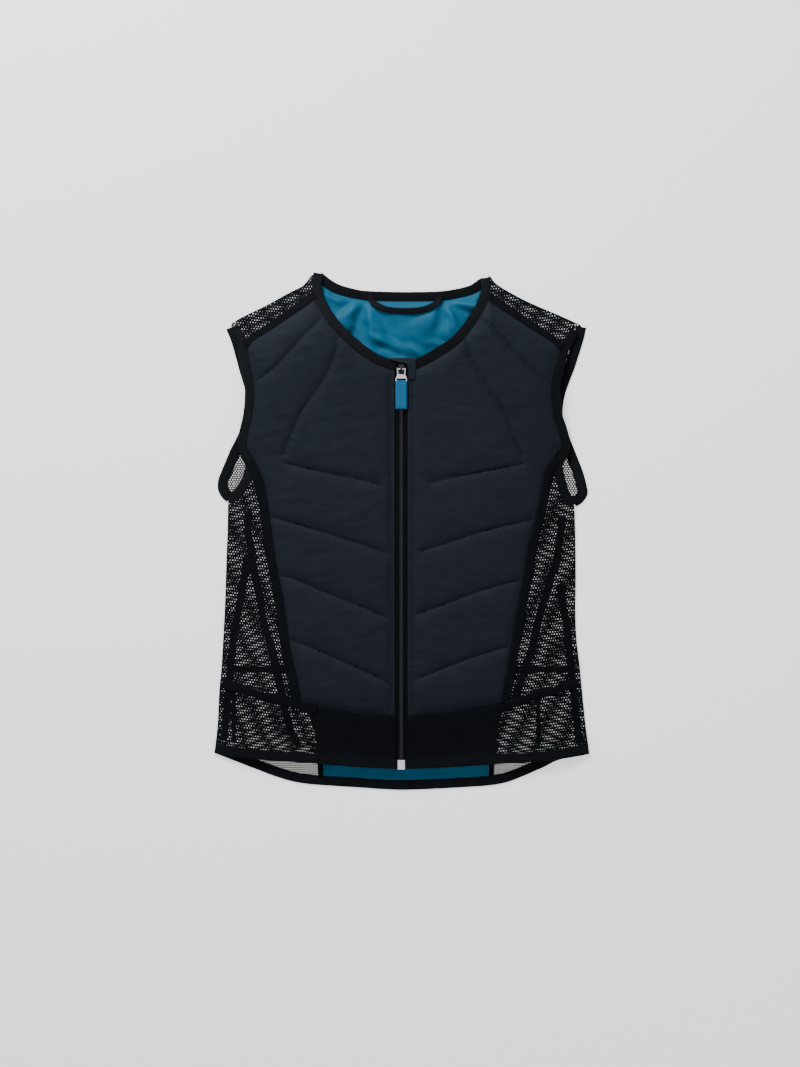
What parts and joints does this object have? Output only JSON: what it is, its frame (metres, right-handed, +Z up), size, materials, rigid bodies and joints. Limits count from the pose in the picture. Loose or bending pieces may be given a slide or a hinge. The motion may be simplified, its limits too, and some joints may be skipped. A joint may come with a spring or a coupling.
{
  "type": "cooling vest",
  "caption": "Sleeveless zip-up cooling vest lying flat: quilted front and back, net sides and shoulders, bound edges, coloured lining and a ribbed zip pull.",
  "frame": {"origin": "middle of the vest's footprint, on the surface that it lies on", "axes": "+Y from hem to neck along the zip, +Z up out of the front, +X towards the vest's right as seen from above"},
  "size_m": [0.482, 0.6648, 0.0322],
  "materials": {
    "quilted": "matt plain-weave outer cloth over thin padding, sewn in slanted channels",
    "knit": "close matt knit",
    "net": "black open net with holes of about 2.4 mm pitch",
    "binding": "folded stretch binding with a slight sheen and stitched edges",
    "zip_tape": "herringbone woven tape",
    "lining": "smooth turquoise lining cloth",
    "tab": "ribbed moulded pull, satin",
    "bare_metal": "bright plated metal",
    "black_metal": "black coated, semi-gloss"
  },
  "bodies": {
    "vest": {"front_panel_left": "quilted", "front_panel_right": "quilted", "front_side_net_left": "net", "front_side_net_right": "net", "front_side_tape_left": "binding", "front_side_tape_right": "binding", "front_lower_net_left": "net", "front_lower_net_right": "net", "front_waist_tape_left": "binding", "front_waist_tape_right": "binding", "front_hem_band_left": "knit", "front_hem_band_right": "knit", "hem_binding_front_left": "binding", "hem_binding_front_right": "binding", "shoulder_net_front_left": "net", "shoulder_net_front_right": "net", "shoulder_tape_left": "binding", "shoulder_tape_right": "binding", "shoulder_net_back_left": "net", "shoulder_net_back_right": "net", "neck_binding_front_left": "binding", "neck_binding_front_right": "binding", "armhole_binding_front_left": "binding", "armhole_binding_front_right": "binding", "armhole_binding_back_left": "binding", "armhole_binding_back_right": "binding", "back_side_net_left": "net", "back_side_net_right": "net", "back_side_tape_left": "binding", "back_side_tape_right": "binding", "gusset_long_tape_left": "binding", "gusset_long_tape_right": "binding", "gusset_short_tape_left": "binding", "gusset_short_tape_right": "binding", "back_waist_tape_left": "binding", "back_waist_tape_right": "binding", "lower_seam_tape_left": "binding", "lower_seam_tape_right": "binding", "back_panel": "quilted", "back_lining": "lining", "hem_binding_back": "binding", "neck_binding_back": "binding", "hanger_loop": "binding", "zip_tape_left": "zip_tape", "zip_tape_right": "zip_tape", "zip_teeth": "black_metal", "zip_bottom_stop": "bare_metal", "zip_slider": "black_metal", "zip_garage": "binding"},
    "puller": {"puller_bail": "bare_metal", "puller_tab": "tab"}
  },
  "joints": [
    {"name": "puller_hinge", "type": "hinge", "parent": "vest", "child": "puller", "pos_m": [-0.0008, 0.20694, 0.02975], "axis": [-1, 0, 0], "range_deg": [0, 150]}
  ]
}
